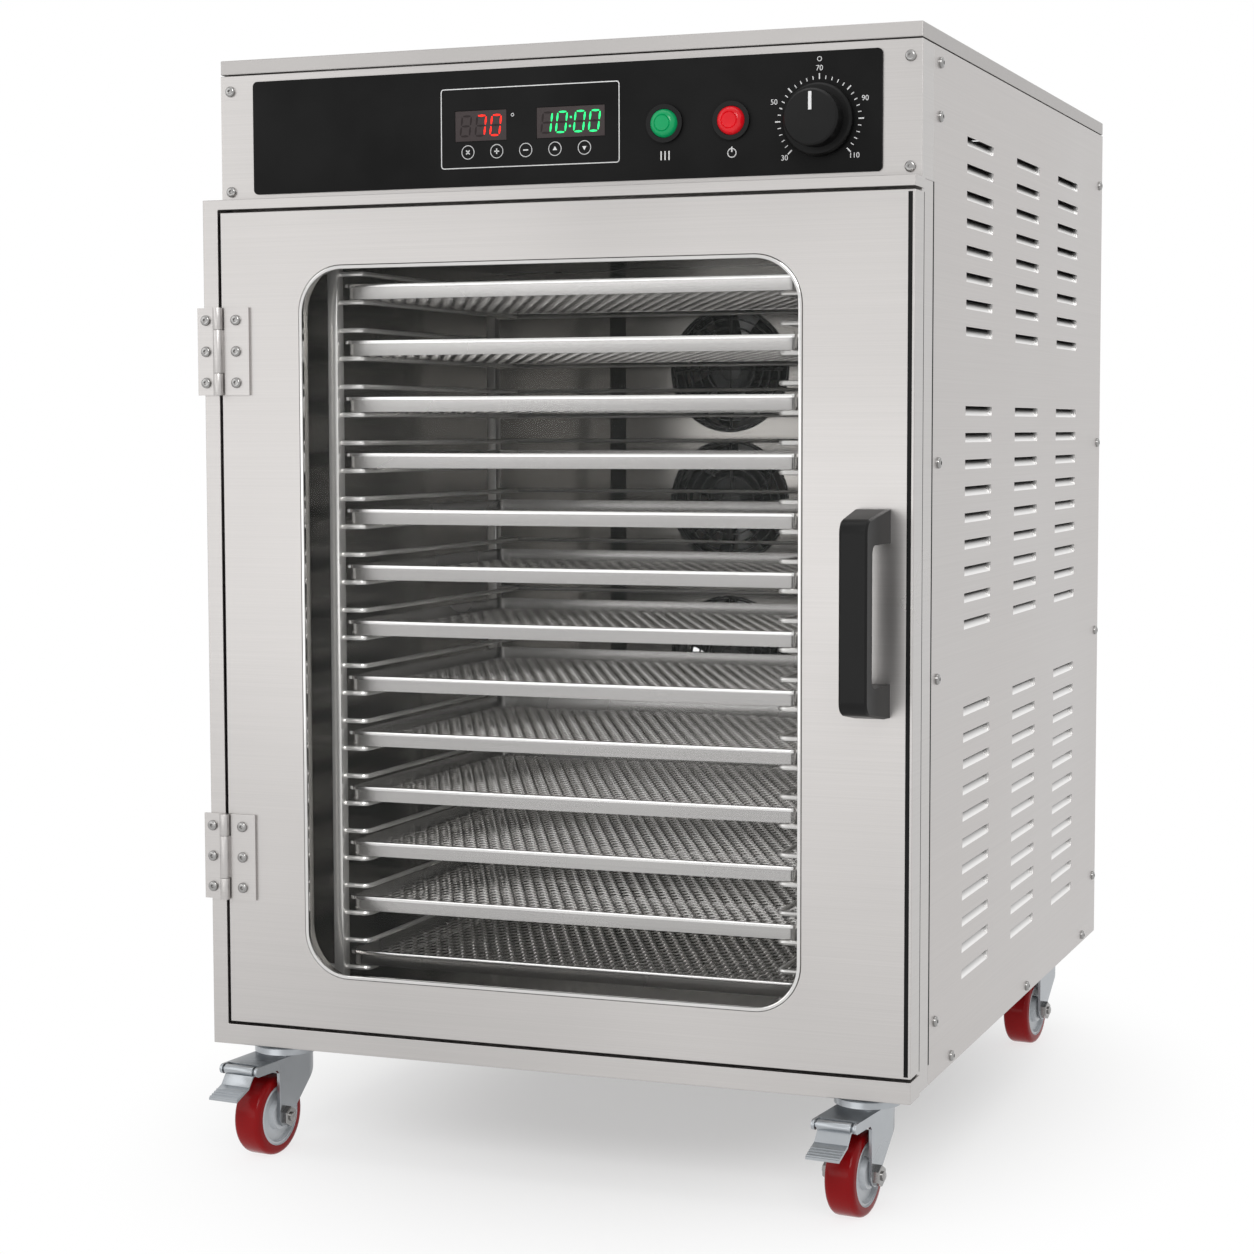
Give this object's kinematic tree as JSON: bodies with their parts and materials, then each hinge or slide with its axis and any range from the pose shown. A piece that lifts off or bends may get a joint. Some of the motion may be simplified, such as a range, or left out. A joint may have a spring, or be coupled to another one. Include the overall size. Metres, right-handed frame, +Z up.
{
  "type": "food dehydrator",
  "caption": "Free-standing cabinet food dehydrator with a glazed hinged door, sliding mesh trays, rear fans, top controls and braked swivel casters.",
  "frame": {"origin": "on the floor under the middle of the whole machine", "axes": "+Z up, the door faces -Y, +X is the user's right"},
  "size_m": [0.5937, 0.797, 0.892],
  "materials": {
    "stainless": "brushed",
    "polished_rim": "polished",
    "glass": "clear",
    "silicone": "matt",
    "black_panel": "satin",
    "display": "gloss",
    "black_plastic": "satin",
    "knob": "satin",
    "red_lens": "gloss",
    "green_lens": "gloss",
    "thermostat": "matt",
    "heater": "mill",
    "zinc_steel": "zinc plated",
    "red_wheel": "gloss"
  },
  "bodies": {
    "cabinet": {"front_frame": "stainless", "left_side_panel": "stainless", "right_side_panel": "stainless", "back_panel": "stainless", "top_cover": "stainless", "base_pan": "stainless", "chamber_liner": "stainless", "fan_wall": "stainless", "control_fascia": "stainless", "hinge_leaves_frame": "stainless", "rack_left": "stainless", "rack_right": "stainless", "cabinet_screws": "stainless", "control_overlay": "black_panel", "display_module": "display", "lamp_bezels": "black_plastic", "fan_housings": "black_plastic", "cable_gland": "black_plastic", "heating_lamp": "green_lens", "thermostat": "thermostat", "heater_element": "heater", "caster_plates": "zinc_steel"},
    "door": {"door_skin": "stainless", "door_liner": "stainless", "window_glass": "glass", "window_trim": "polished_rim", "door_seal": "silicone", "door_handle": "black_plastic", "door_screws": "stainless", "hinge_leaves_door": "stainless"},
    "knob": {"temperature_knob": "knob"},
    "button": {"power_button": "red_lens"},
    "tray_01_body": {"tray_01": "stainless"},
    "tray_02_body": {"tray_02": "stainless"},
    "tray_03_body": {"tray_03": "stainless"},
    "tray_04_body": {"tray_04": "stainless"},
    "tray_05_body": {"tray_05": "stainless"},
    "tray_06_body": {"tray_06": "stainless"},
    "tray_07_body": {"tray_07": "stainless"},
    "tray_08_body": {"tray_08": "stainless"},
    "tray_09_body": {"tray_09": "stainless"},
    "tray_10_body": {"tray_10": "stainless"},
    "tray_11_body": {"tray_11": "stainless"},
    "tray_12_body": {"tray_12": "stainless"},
    "tray_13_body": {"tray_13": "stainless"},
    "fan_1": {"fan_impeller_1": "black_plastic"},
    "fan_2": {"fan_impeller_2": "black_plastic"},
    "fan_3": {"fan_impeller_3": "black_plastic"},
    "swivel_front_left": {"caster_fork_front_left": "zinc_steel"},
    "wheel_front_left": {"caster_wheel_front_left": "red_wheel"},
    "pedal_front_left": {"brake_pedal_front_left": "zinc_steel"},
    "swivel_front_right": {"caster_fork_front_right": "zinc_steel"},
    "wheel_front_right": {"caster_wheel_front_right": "red_wheel"},
    "pedal_front_right": {"brake_pedal_front_right": "zinc_steel"},
    "swivel_rear_left": {"caster_fork_rear_left": "zinc_steel"},
    "wheel_rear_left": {"caster_wheel_rear_left": "red_wheel"},
    "pedal_rear_left": {"brake_pedal_rear_left": "zinc_steel"},
    "swivel_rear_right": {"caster_fork_rear_right": "zinc_steel"},
    "wheel_rear_right": {"caster_wheel_rear_right": "red_wheel"},
    "pedal_rear_right": {"brake_pedal_rear_right": "zinc_steel"}
  },
  "joints": [
    {"name": "door_hinge", "type": "hinge", "parent": "cabinet", "child": "door", "pos_m": [-0.27955, -0.3467, 0.452], "axis": [0, 0, -1], "range_deg": [0, 170]},
    {"name": "knob_turn", "type": "hinge", "parent": "cabinet", "child": "knob", "pos_m": [0.2135, -0.33, 0.823], "axis": [0, -1, 0], "range_deg": [-135, 135]},
    {"name": "power_press", "type": "slide", "parent": "cabinet", "child": "button", "axis": [0, 1, 0], "range_m": [0, 0.003], "stiffness_N_per_m": 400},
    {"name": "fan_spin_1", "type": "hinge", "parent": "cabinet", "child": "fan_1", "pos_m": [0, 0.13, 0.381], "axis": [0, 1, 0], "continuous": true},
    {"name": "fan_spin_2", "type": "hinge", "parent": "cabinet", "child": "fan_2", "pos_m": [0, 0.13, 0.527], "axis": [0, 1, 0], "continuous": true},
    {"name": "fan_spin_3", "type": "hinge", "parent": "cabinet", "child": "fan_3", "pos_m": [0, 0.13, 0.649], "axis": [0, 1, 0], "continuous": true},
    {"name": "swivel_turn_front_left", "type": "hinge", "parent": "cabinet", "child": "swivel_front_left", "pos_m": [-0.25, -0.3005, 0.084], "axis": [0, 0, 1], "continuous": true},
    {"name": "wheel_roll_front_left", "type": "hinge", "parent": "swivel_front_left", "child": "wheel_front_left", "pos_m": [-0.25293, -0.32835, 0.033], "axis": [0.9945, -0.1045, 0], "continuous": true},
    {"name": "pedal_press_front_left", "type": "hinge", "parent": "swivel_front_left", "child": "pedal_front_left", "pos_m": [-0.2569, -0.36614, 0.077], "axis": [0.9945, -0.1045, 0], "range_deg": [0, 20]},
    {"name": "swivel_turn_front_right", "type": "hinge", "parent": "cabinet", "child": "swivel_front_right", "pos_m": [0.25, -0.3005, 0.084], "axis": [0, 0, 1], "continuous": true},
    {"name": "wheel_roll_front_right", "type": "hinge", "parent": "swivel_front_right", "child": "wheel_front_right", "pos_m": [0.24707, -0.32835, 0.033], "axis": [0.9945, -0.1045, 0], "continuous": true},
    {"name": "pedal_press_front_right", "type": "hinge", "parent": "swivel_front_right", "child": "pedal_front_right", "pos_m": [0.2431, -0.36614, 0.077], "axis": [0.9945, -0.1045, 0], "range_deg": [0, 20]},
    {"name": "swivel_turn_rear_left", "type": "hinge", "parent": "cabinet", "child": "swivel_rear_left", "pos_m": [-0.25, 0.3055, 0.084], "axis": [0, 0, 1], "continuous": true},
    {"name": "wheel_roll_rear_left", "type": "hinge", "parent": "swivel_rear_left", "child": "wheel_rear_left", "pos_m": [-0.25293, 0.27765, 0.033], "axis": [0.9945, -0.1045, 0], "continuous": true},
    {"name": "pedal_press_rear_left", "type": "hinge", "parent": "swivel_rear_left", "child": "pedal_rear_left", "pos_m": [-0.2569, 0.23986, 0.077], "axis": [0.9945, -0.1045, 0], "range_deg": [0, 20]},
    {"name": "swivel_turn_rear_right", "type": "hinge", "parent": "cabinet", "child": "swivel_rear_right", "pos_m": [0.25, 0.3055, 0.084], "axis": [0, 0, 1], "continuous": true},
    {"name": "wheel_roll_rear_right", "type": "hinge", "parent": "swivel_rear_right", "child": "wheel_rear_right", "pos_m": [0.24707, 0.27765, 0.033], "axis": [0.9945, -0.1045, 0], "continuous": true},
    {"name": "pedal_press_rear_right", "type": "hinge", "parent": "swivel_rear_right", "child": "pedal_rear_right", "pos_m": [0.2431, 0.23986, 0.077], "axis": [0.9945, -0.1045, 0], "range_deg": [0, 20]},
    {"name": "tray_01_slide", "type": "slide", "parent": "cabinet", "child": "tray_01_body", "axis": [0, -1, 0], "range_m": [0, 0.282]},
    {"name": "tray_02_slide", "type": "slide", "parent": "cabinet", "child": "tray_02_body", "axis": [0, -1, 0], "range_m": [0, 0.282]},
    {"name": "tray_03_slide", "type": "slide", "parent": "cabinet", "child": "tray_03_body", "axis": [0, -1, 0], "range_m": [0, 0.282]},
    {"name": "tray_04_slide", "type": "slide", "parent": "cabinet", "child": "tray_04_body", "axis": [0, -1, 0], "range_m": [0, 0.282]},
    {"name": "tray_05_slide", "type": "slide", "parent": "cabinet", "child": "tray_05_body", "axis": [0, -1, 0], "range_m": [0, 0.282]},
    {"name": "tray_06_slide", "type": "slide", "parent": "cabinet", "child": "tray_06_body", "axis": [0, -1, 0], "range_m": [0, 0.282]},
    {"name": "tray_07_slide", "type": "slide", "parent": "cabinet", "child": "tray_07_body", "axis": [0, -1, 0], "range_m": [0, 0.282]},
    {"name": "tray_08_slide", "type": "slide", "parent": "cabinet", "child": "tray_08_body", "axis": [0, -1, 0], "range_m": [0, 0.282]},
    {"name": "tray_09_slide", "type": "slide", "parent": "cabinet", "child": "tray_09_body", "axis": [0, -1, 0], "range_m": [0, 0.282]},
    {"name": "tray_10_slide", "type": "slide", "parent": "cabinet", "child": "tray_10_body", "axis": [0, -1, 0], "range_m": [0, 0.282]},
    {"name": "tray_11_slide", "type": "slide", "parent": "cabinet", "child": "tray_11_body", "axis": [0, -1, 0], "range_m": [0, 0.282]},
    {"name": "tray_12_slide", "type": "slide", "parent": "cabinet", "child": "tray_12_body", "axis": [0, -1, 0], "range_m": [0, 0.282]},
    {"name": "tray_13_slide", "type": "slide", "parent": "cabinet", "child": "tray_13_body", "axis": [0, -1, 0], "range_m": [0, 0.282]}
  ],
  "couplings": [
    {"joint": "tray_01_slide", "follows": "door_hinge", "m_per_rad": 0.095},
    {"joint": "tray_02_slide", "follows": "door_hinge", "m_per_rad": 0.095},
    {"joint": "tray_03_slide", "follows": "door_hinge", "m_per_rad": 0.095},
    {"joint": "tray_04_slide", "follows": "door_hinge", "m_per_rad": 0.095},
    {"joint": "tray_05_slide", "follows": "door_hinge", "m_per_rad": 0.095},
    {"joint": "tray_06_slide", "follows": "door_hinge", "m_per_rad": 0.095},
    {"joint": "tray_07_slide", "follows": "door_hinge", "m_per_rad": 0.095},
    {"joint": "tray_08_slide", "follows": "door_hinge", "m_per_rad": 0.095},
    {"joint": "tray_09_slide", "follows": "door_hinge", "m_per_rad": 0.095},
    {"joint": "tray_10_slide", "follows": "door_hinge", "m_per_rad": 0.095},
    {"joint": "tray_11_slide", "follows": "door_hinge", "m_per_rad": 0.095},
    {"joint": "tray_12_slide", "follows": "door_hinge", "m_per_rad": 0.095},
    {"joint": "tray_13_slide", "follows": "door_hinge", "m_per_rad": 0.095}
  ]
}
